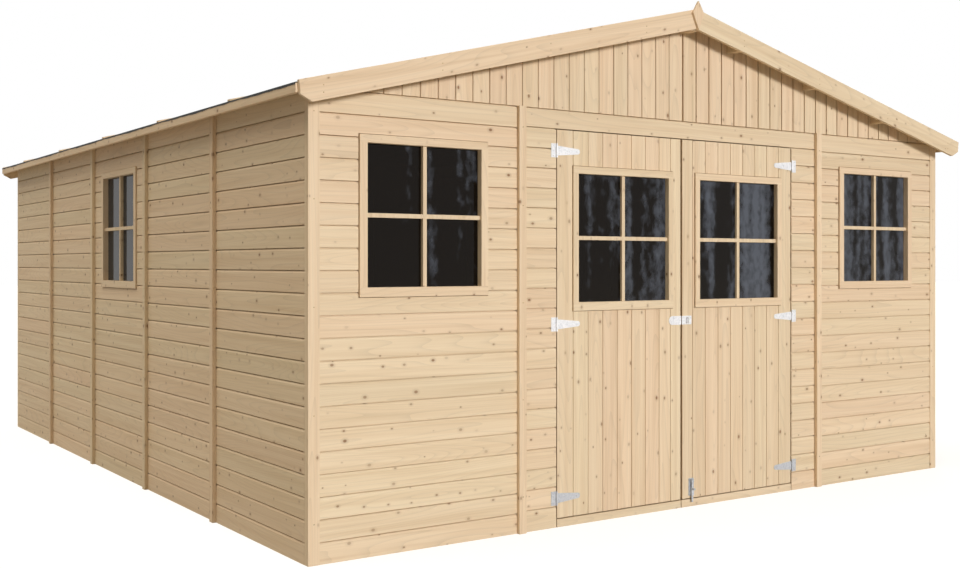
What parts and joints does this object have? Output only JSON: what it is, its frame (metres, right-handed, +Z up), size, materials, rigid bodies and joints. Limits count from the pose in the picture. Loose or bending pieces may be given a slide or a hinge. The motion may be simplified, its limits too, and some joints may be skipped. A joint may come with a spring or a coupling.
{
  "type": "timber garden shed",
  "caption": "Timber garden shed with a low gable roof, glazed double doors that swing outwards, and square windows in its front and side walls.",
  "frame": {"origin": "on the ground in the middle of the footprint, under the middle of the floor", "axes": "+Z up; +Y from the front gable to the back gable, so that the doors face -Y; +X to the right as seen from the front"},
  "size_m": [4.12, 4.9786, 2.4081],
  "materials": {
    "planed_softwood": "planed and untreated",
    "sawn_softwood": "rough sawn and untreated",
    "roofing_felt": "mineral surfaced and matt",
    "window_glass": "clear",
    "galvanised_steel": "zinc plated"
  },
  "bodies": {
    "shed": {"floor_boards": "sawn_softwood", "floor_bearers": "sawn_softwood", "door_threshold": "planed_softwood", "front_left_panel": "planed_softwood", "front_right_panel": "planed_softwood", "door_surround": "planed_softwood", "left_wall_panels": "planed_softwood", "left_window_panel": "planed_softwood", "right_wall_panels": "planed_softwood", "right_window_panel": "planed_softwood", "back_wall_panels": "planed_softwood", "gable_boards": "planed_softwood", "front_wall_frame": "sawn_softwood", "back_wall_frame": "sawn_softwood", "left_wall_frame": "sawn_softwood", "right_wall_frame": "sawn_softwood", "wall_battens": "planed_softwood", "corner_trims": "planed_softwood", "roof_purlins": "sawn_softwood", "left_roof_boards": "planed_softwood", "right_roof_boards": "planed_softwood", "left_roof_felt": "roofing_felt", "right_roof_felt": "roofing_felt", "felt_laths": "planed_softwood", "eave_fascias": "planed_softwood", "bargeboards": "planed_softwood", "gable_finials": "planed_softwood", "wall_window_frames": "planed_softwood", "wall_window_panes": "window_glass", "hinge_plates": "galvanised_steel"},
    "left_door": {"left_door_boards": "planed_softwood", "left_door_frame": "sawn_softwood", "left_door_window": "planed_softwood", "left_door_pane": "window_glass", "left_door_straps": "galvanised_steel", "hasp": "galvanised_steel"},
    "right_door": {"right_door_boards": "planed_softwood", "right_door_frame": "sawn_softwood", "right_door_window": "planed_softwood", "right_door_pane": "window_glass", "right_door_straps": "galvanised_steel", "hasp_staple": "galvanised_steel", "bolt_barrel": "galvanised_steel"},
    "door_bolt": {"bolt_rod": "galvanised_steel"}
  },
  "joints": [
    {"name": "left_door_hinge", "type": "hinge", "parent": "shed", "child": "left_door", "pos_m": [-0.764, -2.3848, 0.9], "axis": [0, 0, -1], "range_deg": [0, 165]},
    {"name": "right_door_hinge", "type": "hinge", "parent": "shed", "child": "right_door", "pos_m": [0.764, -2.3848, 0.9], "axis": [0, 0, 1], "range_deg": [0, 165]},
    {"name": "bolt_slide", "type": "slide", "parent": "right_door", "child": "door_bolt", "axis": [0, 0, 1], "range_m": [0, 0.028]}
  ]
}
